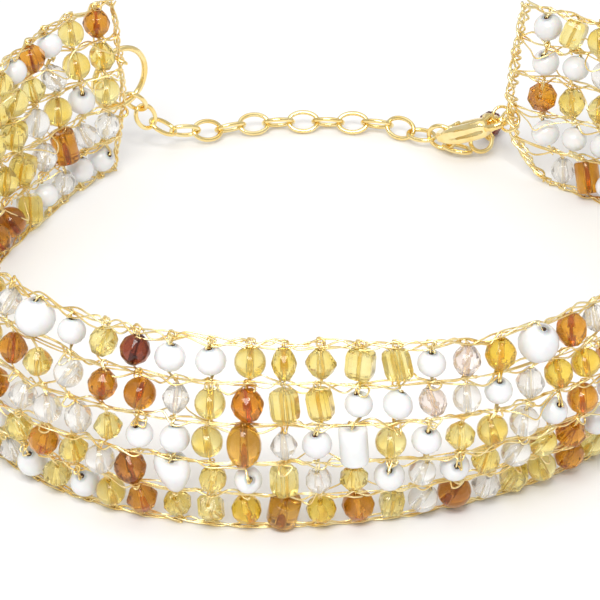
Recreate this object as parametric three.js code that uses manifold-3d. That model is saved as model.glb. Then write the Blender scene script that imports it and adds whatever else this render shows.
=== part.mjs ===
// Beaded choker: a band of glass beads in a net of fine gold wire, standing on its lower edge,
// closed at the back by an extender chain and a lobster clasp. Millimetres, +Z up.
import * as THREE from "three";
import { mergeVertices } from "three/addons/utils/BufferGeometryUtils.js";
import Module from "manifold-3d";

const wasm = await Module();
wasm.setup();

const DEG = Math.PI / 180;
const smooth = THREE.MathUtils.smoothstep;
const V = (x, y, z) => new THREE.Vector3(x, y, z);

// ---------- driving dimensions ----------

// The foot of the band seen from above: tangent arcs from the front to each end.
// A negative radius bends away from the neck.
const LEFT_ARCS = [
  { radius: 43.6, sweep: 107.5 },
  { radius: 192, sweep: 10.4 },
  { radius: 35.6, sweep: 15.6 },
];
const RIGHT_ARCS = [
  { radius: 61, sweep: 68 },
  { radius: 45.3, sweep: 78 },
  { radius: -13, sweep: 22 },
];
const FRONT = { x: -4.5, y: 0 }; // front-most point of the foot
const CENTRE = { x: 3.883, y: 51.94 }; // middle of the whole piece, moved to the origin

// The band's section: a barrel that leans outwards, more on its right-hand side.
const BAND_HEIGHT = 28;
const FOOT_OUT = 1.3; // the foot stands this far outside the top edge
const BULGE = 3.6;
const END_BULGE = -1.9; // each end is hollow instead
const LEAN = [ // degrees outwards, at a distance along the band
  { at: -129, degrees: -0.5 },
  { at: -112, degrees: 6.8 },
  { at: -90, degrees: 6.8 },
  { at: -40, degrees: 0 },
  { at: 0, degrees: 0 },
  { at: 30, degrees: 10 },
  { at: 90, degrees: 7 },
  { at: 118, degrees: 6.5 },
  { at: 141, degrees: 1.2 },
];
const END_REACH = 35; // the section changes over this length at each end

// Rows of beads from the lower edge up. End is the distance from the last bead to the wire that
// edges that end. Drift moves a row's beads along, by so much at each of the stations.
const DRIFT_STATIONS = [-95, -45, -30, -15, 0, 15, 30, 45, 95];
const ROWS = [
  { height: 3.2, endLeft: 2.8, endRight: 8.2, drift: [0, 1.3, 0.6, -0.4, 0, 0.8, 0.7, 1.5, 0] },
  { height: 8.9, endLeft: 2.75, endRight: 5.6, drift: [0, 2.1, 1.7, 0.7, 0, 0.4, -0.2, -0.8, 0] },
  { height: 14.6, endLeft: 2.75, endRight: 4.9, drift: [0, 1.4, 1.5, 1.1, 0, -0.7, -1.4, -1.3, 0] },
  { height: 20.0, endLeft: 2.75, endRight: 5.0, drift: [0, -1.8, -1.2, 0, 0, 1.2, 0.8, -0.1, 0] },
  { height: 25.1, endLeft: 2.75, endRight: 4.5, drift: [0, -3.4, -4.0, -2.4, 0, 1.9, 2.0, 1.2, 0] },
];
const MIDDLE_COLUMN = 28; // column that stands at the front, just right of the middle
const MIDDLE_AT = 2.25;
const CORNER = { cut: 6.2, bend: 1.6, height: 3.6 }; // the lower corner of the right end slopes away
const ROOM = 0.7; // extra length of wire that a large bead takes up

// Wire sections: half of the thickness of a knot or twisted run of the net
const WIRE = 0.35;
const SEAM = 0.3; // gap between neighbouring solids
const STRETCH_COLUMNS = 4;

// Bead kinds. own: bead is a solid of its own, threaded on the wire.
const KINDS = {
  w: { width: 3.9, tall: 3.6, form: "round" }, // white
  h: { width: 4.2, tall: 3.6, form: "round" }, // white, wide hole
  k: { width: 4.0, tall: 3.8, form: "round" }, // dark brown
  y: { width: 3.8, tall: 3.8, form: "round" }, // yellow
  g: { width: 4.0, tall: 3.8, form: "round" }, // golden yellow
  O: { width: 3.6, tall: 4.2, form: "round" }, // yellow oval
  q: { width: 3.6, tall: 3.8, form: "block" }, // yellow block
  c: { width: 3.8, tall: 3.8, form: "round" }, // clear
  p: { width: 3.9, tall: 3.8, form: "round" }, // pale pink
  a: { width: 4.2, tall: 4.0, form: "round" }, // amber
  o: { width: 4.2, tall: 3.9, form: "round" }, // orange amber
  b: { width: 4.2, tall: 4.0, form: "round" }, // brown amber
  m: { width: 3.3, tall: 4.2, form: "block" }, // amber tube
  W: { width: 5.4, tall: 3.9, form: "own", name: "large_white_bead" },
  H: { width: 5.2, tall: 4.2, form: "own", name: "white_drop_bead" },
  t: { width: 3.9, tall: 4.2, form: "own", name: "white_tube_bead" },
  A: { width: 4.3, tall: 5.2, form: "own", name: "amber_oval_bead" },
};

// Bead chart, top row first, left end to right end: left back, left side, front, right side,
// right back.
const CHART = [
  "aywawy" + "wycayWyqcyway" + "ycWwykwwyOyyqwpgWacy" + "wyacywqyWycaywycy" + "yqw",
  "yycyyy" + "ycwyaycwyoycw" + "yaycaacyoqqwwpcwcgga" + "ycywwaycyyowcyyaw" + "cww",
  "ywycyy" + "cyAywcyybwcyq" + "acccywwyAcwtyhyycwaw" + "wyqycywaytywycwyc" + "yya",
  "ccmcyy" + "ywyqcwaytyywc" + "wyaycbHyhqcywchycyaw" + "cawyyHycwybyqwycy" + "www",
  "wwcwyb" + "aycwyywcyawyy" + "cwywyayqyoyaqcbcqyay" + "ywycbywyacywwyayw" + "wmc",
];

// ---------- band surface ----------

// Point and heading at distance s along the foot, s = 0 at the front, growing to the right
function planAt(s) {
  const side = s < 0 ? -1 : 1;
  let left = Math.abs(s);
  let heading = 0;
  let x = 0;
  let y = 0;
  const arcs = s < 0 ? LEFT_ARCS : RIGHT_ARCS;
  arcs.forEach(({ radius, sweep }, i) => {
    const full = Math.abs(radius) * sweep * DEG;
    const run = i === arcs.length - 1 ? left : Math.min(left, full);
    const next = heading + run / radius;
    x += radius * (Math.sin(next) - Math.sin(heading));
    y += radius * (Math.cos(heading) - Math.cos(next));
    heading = next;
    left -= run;
  });
  return { x: FRONT.x + side * x, y: FRONT.y + y, heading: side * heading };
}

const arcsLength = (arcs) => arcs.reduce((sum, a) => sum + Math.abs(a.radius) * a.sweep * DEG, 0);
const LEFT_END = -arcsLength(LEFT_ARCS);
const RIGHT_END = arcsLength(RIGHT_ARCS);

function leanAt(s) {
  const i = LEAN.findIndex((row) => row.at > s);
  const [a, b] = [LEAN[i - 1], LEAN[i]];
  return DEG * (a.degrees + (b.degrees - a.degrees) * smooth(s, a.at, b.at));
}

// Point of the band at s along it, v up it and d out from it
function bandPoint(s, v, d) {
  const { x, y, heading } = planAt(s);
  const lean = leanAt(s);
  const up = THREE.MathUtils.clamp(v / BAND_HEIGHT, 0, 1);
  const full = smooth(s - LEFT_END, 0, END_REACH) * smooth(RIGHT_END - s, 0, END_REACH);
  const bulge = END_BULGE + (BULGE - END_BULGE) * full;
  const barrel = full * FOOT_OUT * (1 - up) + bulge * Math.sin(Math.PI * up) ** 1.5;
  const out = barrel + v * Math.sin(lean) + d;
  return V(x + out * Math.sin(heading), y - out * Math.cos(heading), v * Math.cos(lean));
}

// ---------- where the beads and the knots lie ----------

const COLUMNS = CHART[0].length;
const LINES = ROWS.length + 1;
const kindAt = (column, row) => KINDS[CHART[ROWS.length - 1 - row][column]];

function driftAt(s, row) {
  const i = DRIFT_STATIONS.findIndex((station) => station > s);
  if (i < 1) return 0;
  const [a, b] = [ROWS[row].drift[i - 1], ROWS[row].drift[i]];
  return a + (b - a) * smooth(s, DRIFT_STATIONS[i - 1], DRIFT_STATIONS[i]);
}

// Each row is threaded from the middle column outwards, bead against bead with an even gap
function threadRow(row) {
  const at = new Array(COLUMNS);
  at[MIDDLE_COLUMN] = MIDDLE_AT;
  const sides = [
    { step: -1, last: 0, end: LEFT_END + ROWS[row].endLeft },
    { step: 1, last: COLUMNS - 1, end: RIGHT_END - ROWS[row].endRight },
  ];
  const room = ({ width, form }) => width + (form === "own" ? ROOM : 0);
  const pitch = (i, j) => (room(kindAt(i, row)) + room(kindAt(j, row))) / 2;
  sides.forEach(({ step, last, end }) => {
    let beads = 0;
    for (let i = MIDDLE_COLUMN; i !== last; i += step) beads += pitch(i, i + step);
    const gap = (Math.abs(end - MIDDLE_AT) - beads) / Math.abs(last - MIDDLE_COLUMN);
    for (let i = MIDDLE_COLUMN; i !== last; i += step) {
      at[i + step] = at[i] + step * (pitch(i, i + step) + gap);
    }
  });
  return at.map((s) => s + driftAt(s, row));
}

const beadAlong = ROWS.map((_, row) => threadRow(row));
const lineHeights = ROWS.slice(1).map((row, i) => (row.height + ROWS[i].height) / 2);
lineHeights.unshift(WIRE);
lineHeights.push(BAND_HEIGHT - WIRE);

// Columns with the bare wire that edges each end of the band at index 0 and COLUMNS + 1
const isBare = (column) => column < 1 || column > COLUMNS;
const beadKind = (column, row) => (isBare(column) ? null : kindAt(column - 1, row));

function knotAlong(column, line) {
  if (column < 1) return LEFT_END;
  if (column > COLUMNS) return RIGHT_END - (line === 0 ? CORNER.cut : 0);
  const rows = [line - 1, line].filter((row) => row >= 0 && row < ROWS.length);
  const own = rows.filter((row) => kindAt(column - 1, row).form === "own");
  const used = own.length ? own : rows;
  return used.reduce((sum, row) => sum + beadAlong[row][column - 1], 0) / used.length;
}

// Lines of the net that run from a column to the next: both edges and one line between rows,
// staggered, and clear of tall beads
const isTall = (column, row) => row >= 0 && row < ROWS.length && (beadKind(column, row)?.tall ?? 0) > 5;
const meetsTall = (column, line) => isTall(column, line - 1) || isTall(column, line);
const END_LINES = { left: [1, 4], right: [1, 3] };

function tiedLines(column) {
  const edges = [0, LINES - 1];
  if (column === 0) return [...edges, ...END_LINES.left];
  if (column === COLUMNS) return [...edges, ...END_LINES.right];
  const order = [2, 4, 1, 3].map((_, i, all) => all[(i + column) % all.length]);
  const free = order.find((line) => !meetsTall(column, line) && !meetsTall(column + 1, line));
  return [...edges, free];
}

// ---------- solids made of rings joined by walls ----------

class Skin {
  points = [];
  faces = [];

  // turns: each point's angle about the direction of travel, in degrees, growing
  ring(points, turns) {
    return { at: points.map((p) => this.points.push(p) - 1), turns };
  }

  wall(a, b) {
    const [n, m] = [a.at.length, b.at.length];
    const turn = (ring, i) => ring.turns[i % ring.at.length] + 360 * Math.floor(i / ring.at.length);
    for (let i = 0, j = 0; i < n || j < m; ) {
      const onA = j === m || (i < n && turn(a, i + 1) <= turn(b, j + 1));
      const third = onA ? a.at[(i + 1) % n] : b.at[(j + 1) % m];
      this.faces.push([a.at[i % n], third, b.at[j % m]]);
      if (onA) i += 1;
      else j += 1;
    }
  }

  cap(at) {
    for (let i = 1; i < at.length - 1; i += 1) this.faces.push([at[0], at[i], at[i + 1]]);
  }

  geometry() {
    const geometry = new THREE.BufferGeometry();
    const positions = this.points.flatMap((p) => p.toArray());
    geometry.setAttribute("position", new THREE.Float32BufferAttribute(positions, 3));
    geometry.setIndex(this.faces.flat());
    return geometry;
  }
}

const SQUARE_TURNS = [-45, 45, 135, 225];
const BEAD_TURNS = [-72, 0, 72, 144, 216];
const reversed = (ring) => [...ring.at].reverse();

// A knot is a small block in the net, whose six faces lead on or are closed
function addKnot(skin, s, v) {
  // Corners by name, low (0) or high (1) along the band, up it and out from it
  const names = ["000", "001", "010", "011", "100", "101", "110", "111"];
  const at = {};
  names.forEach((name) => {
    const [along, up, out] = [...name].map((digit) => (2 * Number(digit) - 1) * WIRE);
    at[name] = skin.points.push(bandPoint(s + along, v + up, out)) - 1;
  });
  const face = (...corners) => ({ at: corners.map((name) => at[name]), turns: SQUARE_TURNS });
  skin.cap(face("111", "011", "001", "101").at);
  skin.cap(face("100", "000", "010", "110").at);
  return {
    left: face("010", "011", "001", "000"),
    right: face("110", "111", "101", "100"),
    bottom: face("001", "101", "100", "000"),
    top: face("011", "111", "110", "010"),
  };
}

// A ring about the band's height, for beads and the wire between them
function heightRing(skin, s, v, radius, turns) {
  const points = turns.map((turn) =>
    bandPoint(s + radius * Math.sin(turn * DEG), v, radius * Math.cos(turn * DEG)));
  return skin.ring(points, turns);
}

// A ring about the band's length, for a run of the net that stops short
function lengthRing(skin, s, v) {
  const signs = [[1, -1], [1, 1], [-1, 1], [-1, -1]];
  return skin.ring(signs.map(([j, k]) => bandPoint(s, v + j * WIRE, k * WIRE)), SQUARE_TURNS);
}

// Rings of one small bead
function beadRings(skin, column, row) {
  const kind = beadKind(column, row);
  if (!kind || kind.form === "own") return [];
  const s = beadAlong[row][column - 1];
  const v = ROWS[row].height;
  if (kind.form === "round") return [heightRing(skin, s, v, kind.width * 0.53, BEAD_TURNS)];
  const corner = kind.width * 0.66;
  return [-0.3, 0.3].map((part) => heightRing(skin, s, v + part * kind.tall, corner, SQUARE_TURNS));
}

// One stretch of the band, from column first to column last: beads, legs, knots and net lines
function bandStretch(first, last) {
  const skin = new Skin();
  const knots = {};
  const tied = (column, line) => column >= 0 && column <= COLUMNS && tiedLines(column).includes(line);
  for (let column = first; column <= last; column += 1) {
    let below = null;
    for (let line = 0; line < LINES; line += 1) {
      const s = knotAlong(column, line);
      const v = lineHeights[line];
      const needed = line === 0 || line === LINES - 1 || tied(column - 1, line) || tied(column, line);
      if (needed) {
        const knot = addKnot(skin, s, v);
        knots[`${column} ${line}`] = knot;
        if (below) skin.wall(below, knot.bottom);
        else skin.cap(reversed(knot.bottom));
        below = knot.top;
      } else {
        const neck = heightRing(skin, s, v, WIRE * Math.SQRT2, SQUARE_TURNS);
        skin.wall(below, neck);
        below = neck;
      }
      if (line === LINES - 1) skin.cap(below.at);
      else if (line === 0 && column > COLUMNS) {
        const bendAt = RIGHT_END - CORNER.bend;
        const bend = heightRing(skin, bendAt, CORNER.height, WIRE * Math.SQRT2, SQUARE_TURNS);
        skin.wall(below, bend);
        below = bend;
      } else {
        beadRings(skin, column, line).forEach((ring) => {
          skin.wall(below, ring);
          below = ring;
        });
      }
    }
  }
  for (let column = first; column <= last; column += 1) {
    for (let line = 0; line < LINES; line += 1) {
      const knot = knots[`${column} ${line}`];
      if (!knot) continue;
      const s = knotAlong(column, line);
      if (!tied(column, line)) skin.cap(knot.right.at);
      else if (column < last) skin.wall(knot.right, knots[`${column + 1} ${line}`].left);
      else {
        const stop = lengthRing(skin, (s + knotAlong(column + 1, line) - SEAM) / 2, lineHeights[line]);
        skin.wall(knot.right, stop);
        skin.cap(stop.at);
      }
      if (!tied(column - 1, line)) skin.cap(reversed(knot.left));
      else if (column === first) {
        const stop = lengthRing(skin, (s + knotAlong(column - 1, line) + SEAM) / 2, lineHeights[line]);
        skin.wall(stop, knot.left);
        skin.cap(reversed(stop));
      }
    }
  }
  return skin.geometry();
}

// A closed loop of wire in the XY plane, flat at its four far points, of half axes a and b
function wireLoop(a, b, radius, sides, steps) {
  const skin = new Skin();
  const turns = Array.from({ length: sides }, (_, i) => (360 * (i + 0.5)) / sides);
  const rings = Array.from({ length: steps }, (_, i) => {
    const angle = (2 * Math.PI * (i + 0.5)) / steps;
    const middle = V(a * Math.cos(angle), b * Math.sin(angle), 0).divideScalar(Math.cos(Math.PI / steps));
    const out = V(b * Math.cos(angle), a * Math.sin(angle), 0).normalize();
    const points = turns.map((turn) => middle.clone()
      .addScaledVector(V(0, 0, 1), radius * Math.cos(turn * DEG))
      .addScaledVector(out, radius * Math.sin(turn * DEG)));
    return skin.ring(points, turns);
  });
  rings.forEach((ring, i) => skin.wall(ring, rings[(i + 1) % steps]));
  return skin.geometry();
}

// ---------- materials ----------

const metal = (color) => new THREE.MeshStandardMaterial({ color, roughness: 0.25, metalness: 1 });
const glass = (color) => new THREE.MeshStandardMaterial({ color, roughness: 0.1, metalness: 0 });
const GOLD = metal(0xe8c060);
const NET = metal(0xd9b45a);
const WHITE = glass(0xfbf9f6);
const AMBER = glass(0xa85a10);
const BROWN = glass(0x5a1c0c);

const choker = new THREE.Group();
choker.position.set(-CENTRE.x, -CENTRE.y, 0);

function addMesh(name, geometry, material, parent = choker) {
  const mesh = new THREE.Mesh(geometry, material);
  mesh.name = name;
  parent.add(mesh);
  return mesh;
}

// ---------- band ----------

let stretchNumber = 1;
for (let first = 0; first <= COLUMNS; ) {
  const beads = STRETCH_COLUMNS + (first === 0 ? 1 : 0);
  const last = Math.min(first + beads - 1, COLUMNS);
  const closing = last >= COLUMNS ? COLUMNS + 1 : last;
  addMesh(`band_stretch_${String(stretchNumber).padStart(2, "0")}`, bandStretch(first, closing), NET);
  stretchNumber += 1;
  first = closing + 1;
}

// ---------- large beads, each threaded on its leg of the net ----------

const BORE = 0.78;
const BEAD_SIDES = 7;
const PROFILES = { // outline from the lower end of the hole to the upper, as parts of radius and height
  W: [[0.6, -1], [1, -0.4], [1, 0.4], [0.6, 1]],
  H: [[0.4, -1], [1, 0.2], [0.85, 0.85], [0.5, 1]],
  t: [[1, -1], [1, 1]],
  A: [[0.5, -1], [1, -0.35], [1, 0.35], [0.5, 1]],
};

function lathed(outline, sides) {
  const points = [...outline, outline[0]].map(([r, z]) => new THREE.Vector2(r, z));
  return new THREE.LatheGeometry(points, sides).rotateX(Math.PI / 2);
}

function threadedBead(letter, column, row, number) {
  const kind = KINDS[letter];
  const outline = PROFILES[letter].map(([r, z]) => [(r * kind.width) / 2, (z * kind.tall) / 2]);
  const bored = [[BORE, -kind.tall / 2], ...outline, [BORE, kind.tall / 2]];
  const mesh = addMesh(`${kind.name}_${number}`, lathed(bored, BEAD_SIDES), letter === "A" ? AMBER : WHITE);
  const low = bandPoint(knotAlong(column, row), lineHeights[row] + WIRE, 0);
  const high = bandPoint(knotAlong(column, row + 1), lineHeights[row + 1] - WIRE, 0);
  mesh.position.copy(low).add(high).multiplyScalar(0.5);
  mesh.quaternion.setFromUnitVectors(V(0, 0, 1), high.sub(low).normalize());
}

const counts = {};
for (let column = 1; column <= COLUMNS; column += 1) {
  for (let row = 0; row < ROWS.length; row += 1) {
    const letter = CHART[ROWS.length - 1 - row][column - 1];
    if (KINDS[letter].form !== "own") continue;
    counts[letter] = (counts[letter] ?? 0) + 1;
    threadedBead(letter, column, row, counts[letter]);
  }
}

// ---------- setting pieces out ----------

// Turns a piece so that its X axis runs along one direction and its Z axis lies nearest another
function aim(mesh, middle, along, normal) {
  const x = along.clone().normalize();
  const y = normal.clone().cross(x).normalize();
  const z = x.clone().cross(y);
  mesh.quaternion.setFromRotationMatrix(new THREE.Matrix4().makeBasis(x, y, z));
  mesh.position.copy(middle);
  return mesh;
}

const UP = V(0, 0, 1);

// The normal of a flat link on a line of travel, rolled about that line from lying flat
function linkNormal(along, roll) {
  const across = UP.clone().cross(along).normalize();
  const up = along.clone().normalize().cross(across);
  return up.multiplyScalar(Math.cos(roll * DEG)).addScaledVector(across, Math.sin(roll * DEG));
}

// ---------- hoop at the left end, tied to the band's end wire ----------

const HOOP = { radius: 4.65, wire: 0.45, height: 14.4, behind: 2.6, beyond: 1.75 };
const hoopAlong = V(0.78, 0.63, 0).normalize();
const hoopMiddle = bandPoint(LEFT_END, HOOP.height, HOOP.behind).addScaledVector(hoopAlong, HOOP.beyond);
hoopMiddle.z = HOOP.height;
const hoopNormal = hoopAlong.clone().cross(UP);
const hoopPoint = (angle) => hoopMiddle.clone()
  .addScaledVector(hoopAlong, HOOP.radius * Math.cos(angle))
  .addScaledVector(UP, HOOP.radius * Math.sin(angle));
aim(addMesh("chain_hoop", wireLoop(HOOP.radius, HOOP.radius, HOOP.wire, 6, 16), GOLD),
  hoopMiddle, hoopAlong, hoopNormal);

// Two rings of fine wire hold the hoop against the end wire where they cross
const TIE = { halfLong: 2.34, halfWide: 1.04, wire: 0.22, clear: 0.1 };
[-1, 1].forEach((side, i) => {
  const angle = side * Math.acos(-HOOP.beyond / HOOP.radius);
  const onHoop = hoopPoint(angle);
  const onEnd = bandPoint(LEFT_END, onHoop.z, 0);
  const travel = hoopAlong.clone().multiplyScalar(-Math.sin(angle)).addScaledVector(UP, Math.cos(angle));
  const normal = travel.multiplyScalar(Math.sign(travel.z)).add(UP).normalize();
  const along = onHoop.clone().sub(onEnd);
  along.addScaledVector(normal, -along.dot(normal));
  const middle = onHoop.clone().add(onEnd).multiplyScalar(0.5).addScaledVector(hoopAlong, TIE.clear);
  aim(addMesh(`hoop_tie_${i + 1}`, wireLoop(TIE.halfLong, TIE.halfWide, TIE.wire, 4, 8), GOLD),
    middle, along, normal);
});

// ---------- jump rings: one about the right end's wire, both through the clasp's eye ----------

const JUMP_RINGS = [
  { radius: 1.4, wire: 0.22, middle: V(29.34, 98.37, 8.07), normal: V(0.18, -0.86, 0.48) },
  { radius: 1.6, wire: 0.22, middle: V(30.42, 96.02, 8.55), normal: V(-0.55, -0.57, 0.61) },
];
JUMP_RINGS.forEach(({ radius, wire, middle, normal }, i) => {
  aim(addMesh(`jump_ring_${i + 1}`, wireLoop(radius, radius, wire, 4, 12), GOLD),
    middle, UP.clone().cross(normal), normal);
});

// The clasp hangs from both rings by its eye; its nose comes down to the link that it holds
const EYE_BAR = 0.36; // from the tail's end to the middle of the eye's wire
const NOSE_BAR = 12.15; // from the tail's end to the middle of the nose
const eyeBar = V(29.66, 96.19, 8.22);
const claspAlong = V(19.6, 102.9, 2.3).sub(eyeBar).normalize();
const claspTail = eyeBar.clone().addScaledVector(claspAlong, -EYE_BAR);
const noseBar = claspTail.clone().addScaledVector(claspAlong, NOSE_BAR);

// ---------- extender chain ----------

const LINK = { halfLong: 2.3, halfWide: 1.56, wire: 0.33, steps: 8, sides: 4 };
const HELD = { halfLong: 2.0, halfWide: 2.0 }; // the rounder link that the clasp holds

function addLink(name, middle, along, roll, { halfLong, halfWide } = LINK) {
  const geometry = wireLoop(halfLong, halfWide, LINK.wire, LINK.sides, LINK.steps);
  aim(addMesh(name, geometry, GOLD), middle, along, linkNormal(along, roll));
}

const heldMiddle = noseBar.clone().add(V(-0.1, 0.23, 0)).setZ(2.4);

// The way that the chain takes from the hoop down to the surface and round to the clasp
const CHAIN_WAY = [
  hoopPoint(-60 * DEG),
  V(-23.5, 100.6, 8.5),
  V(-22.3, 101.5, 6.0),
  V(-19.9, 102.6, 3.9),
  V(-17.1, 103.6, 2.8),
  V(-14.0, 105.0, 2.0),
  V(-10.7, 106.4, 1.7),
  V(-7.3, 107.7, 1.58),
  V(-0.7, 108.6, 1.5),
  V(6.3, 108.4, 1.5),
  V(13.2, 107.0, 1.78),
  V(17.1, 104.8, 1.6),
  V(20.4, 102.37, 1.9),
];
const way = new THREE.CatmullRomCurve3(CHAIN_WAY, false, "centripetal");
const LINKS_TO_CLASP = 15;
const FIRST_LINK = 1.1; // from the hoop's wire to the middle of the first link
const ROLLS = { 1: 24, 2: -80, 3: -15, 4: 52, 13: -55, 14: -2 }; // degrees; the rest alternate
const wayLength = way.getLength();
const LAST_PITCH = 3.25; // from the last link on the way to the link that the clasp holds
const linkPitch = (wayLength - FIRST_LINK - LAST_PITCH) / (LINKS_TO_CLASP - 2);
const linkName = (n) => `chain_link_${String(n).padStart(2, "0")}`;
for (let n = 1; n < LINKS_TO_CLASP; n += 1) {
  const u = (FIRST_LINK + (n - 1) * linkPitch) / wayLength;
  addLink(linkName(n), way.getPointAt(u), way.getTangentAt(u), ROLLS[n] ?? (n % 2 ? -45 : 45));
}

// The link that the clasp holds stands upright; the free end lies on under the clasp
addLink(linkName(LINKS_TO_CLASP), heldMiddle, V(0.94, -0.34, 0), -99, HELD);
addLink("tail_link_1", V(23, 101.16, 1.15), V(0.84, -0.54, 0), 12);
addLink("tail_link_2", V(26.47, 101.53, 2.03), V(0.6, 0.8, 0), -42);

// ---------- solid geometry, added and cut ----------

function solidOf(geometry) {
  const bare = geometry.clone();
  bare.deleteAttribute("normal");
  bare.deleteAttribute("uv");
  const { attributes, index } = mergeVertices(bare);
  return new wasm.Manifold(new wasm.Mesh({
    numProp: 3,
    vertProperties: new Float32Array(attributes.position.array),
    triVerts: new Uint32Array(index.array),
  }));
}

function geometryOf(solid) {
  const { vertProperties, triVerts } = solid.getMesh();
  const geometry = new THREE.BufferGeometry();
  geometry.setAttribute("position", new THREE.Float32BufferAttribute(vertProperties, 3));
  geometry.setIndex([...triVerts]);
  return geometry;
}

// ---------- drop at the free end: a pin with a loop and a head, and its bead ----------

const DROP = { along: V(0.15, 1, 0.06), loop: 0.98, wire: 0.26 };
const dropMiddle = V(27.55, 104.4, 1.65);
const DROP_BEAD = { radius: 1.8, from: 1.5, tall: 3.2, bore: 0.55 };
const DROP_HEAD = { radius: 0.75, thick: 0.5 };
const stemEnd = DROP_BEAD.from + DROP_BEAD.tall + 0.3;
const stem = new THREE.CylinderGeometry(DROP.wire, DROP.wire, stemEnd - DROP.loop + 0.1, 8)
  .rotateZ(Math.PI / 2).translate((stemEnd + DROP.loop) / 2, 0, 0);
const head = new THREE.CylinderGeometry(DROP_HEAD.radius, DROP_HEAD.radius, DROP_HEAD.thick, 8)
  .rotateZ(Math.PI / 2).translate(stemEnd + DROP_HEAD.thick / 2, 0, 0);
const dropLoop = wireLoop(DROP.loop, DROP.loop, DROP.wire, 4, 8);
const dropPin = solidOf(dropLoop).add(solidOf(stem)).add(solidOf(head));
aim(addMesh("drop_pin", geometryOf(dropPin), GOLD), dropMiddle, DROP.along, linkNormal(DROP.along, -41));

const dropOutline = [[0.6, 0], [1, 0.3], [1, 0.7], [0.6, 1]].map(([r, z]) => [
  r * DROP_BEAD.radius, z * DROP_BEAD.tall]);
const dropBored = [[DROP_BEAD.bore, 0], ...dropOutline, [DROP_BEAD.bore, DROP_BEAD.tall]];
const dropGeometry = lathed(dropBored, BEAD_SIDES).rotateY(Math.PI / 2).translate(DROP_BEAD.from, 0, 0);
aim(addMesh("drop_bead", dropGeometry, BROWN), dropMiddle, DROP.along, UP);

// ---------- lobster clasp ----------

// Clasp frame: X from the tail to the nose, Y across towards the lever, Z through its thickness
const CLASP = {
  eyeOuter: 2,
  eyeHole: 1.36,
  outer: { x: 7.7, y: 0, a: 5.3, b: 2.95 },
  inner: { x: 7.6, y: 0.05, a: 3.8, b: 1.67 },
  slot: 1.5,
  leverThick: 1.1,
  leverTip: 9.85,
  gap: 0.25,
  pivot: { x: 4.05, y: 1.56, pin: 0.35, bore: 0.62, boss: 1.24, length: 2.46 },
  tab: { x: 5.4, wide: 1, reach: 3.8 },
};
// Half of the thickness at a distance from the tail
const SIDE_PROFILE = [[-0.1, 0.42], [2.9, 0.42], [3.7, 1.28], [8.6, 1.24], [11.1, 0.65], [13.1, 0.54]];

const upright = (shape, x, y) => solidOf(shape.rotateX(Math.PI / 2).translate(x, y, 0));

function pillar(x, y, radius, height, sides) {
  return upright(new THREE.CylinderGeometry(radius, radius, height, sides), x, y);
}

function oval({ x, y, a, b }, grow, height, sides) {
  const shape = new THREE.CylinderGeometry(1, 1, height, sides).scale(a + grow, 1, b + grow);
  return upright(shape, x, y);
}

function block(x0, x1, y0, y1, height) {
  return upright(new THREE.BoxGeometry(x1 - x0, height, y1 - y0), (x0 + x1) / 2, (y0 + y1) / 2);
}

function profileSolid() {
  const outline = [...SIDE_PROFILE, ...SIDE_PROFILE.map(([x, z]) => [x, -z]).reverse()];
  const shape = new THREE.Shape(outline.map(([x, z]) => new THREE.Vector2(x, z)));
  return solidOf(new THREE.ExtrudeGeometry(shape, { depth: 10, bevelEnabled: false })
    .translate(0, 0, -5).rotateX(Math.PI / 2));
}

const { pivot, tab } = CLASP;
const TALL = 6;
const claspOutline = oval(CLASP.outer, 0, TALL, 20)
  .add(pillar(CLASP.eyeOuter, 0, CLASP.eyeOuter, TALL, 12))
  .subtract(pillar(CLASP.eyeOuter, 0, CLASP.eyeHole, TALL + 1, 10));
const claspBody = claspOutline.intersect(profileSolid())
  .subtract(oval(CLASP.inner, 0, TALL, 18))
  .subtract(block(pivot.x + 0.9, CLASP.leverTip + CLASP.gap, 0, 4, TALL))
  .subtract(pillar(pivot.x, pivot.y, pivot.boss + CLASP.gap, CLASP.slot, 12))
  .subtract(block(pivot.x - 0.4, pivot.x + 1.4, pivot.y - 0.9, 4, CLASP.slot))
  .add(pillar(pivot.x, pivot.y, pivot.pin, pivot.length, 8));
const leverArm = oval(CLASP.outer, -0.15, CLASP.leverThick, 20)
  .subtract(oval(CLASP.inner, 0.05, TALL, 18))
  .intersect(block(pivot.x, CLASP.leverTip, 0.5, 4, TALL));
const claspLever = leverArm
  .add(pillar(pivot.x, pivot.y, pivot.boss, CLASP.leverThick, 10))
  .add(block(tab.x - tab.wide / 2, tab.x + tab.wide / 2, 2, tab.reach, CLASP.leverThick))
  .subtract(pillar(pivot.x, pivot.y, pivot.bore, TALL, 10));
const claspSide = linkNormal(claspAlong, 0).negate();
aim(addMesh("clasp_body", geometryOf(claspBody), GOLD), claspTail, claspAlong, claspSide);
aim(addMesh("clasp_lever", geometryOf(claspLever), GOLD), claspTail, claspAlong, claspSide);

export default choker;
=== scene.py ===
# Beaded choker: glass beads in a net of fine gold wire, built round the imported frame

import math
import random

import bpy
import numpy as np
from mathutils import Matrix, Quaternion, Vector


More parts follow.
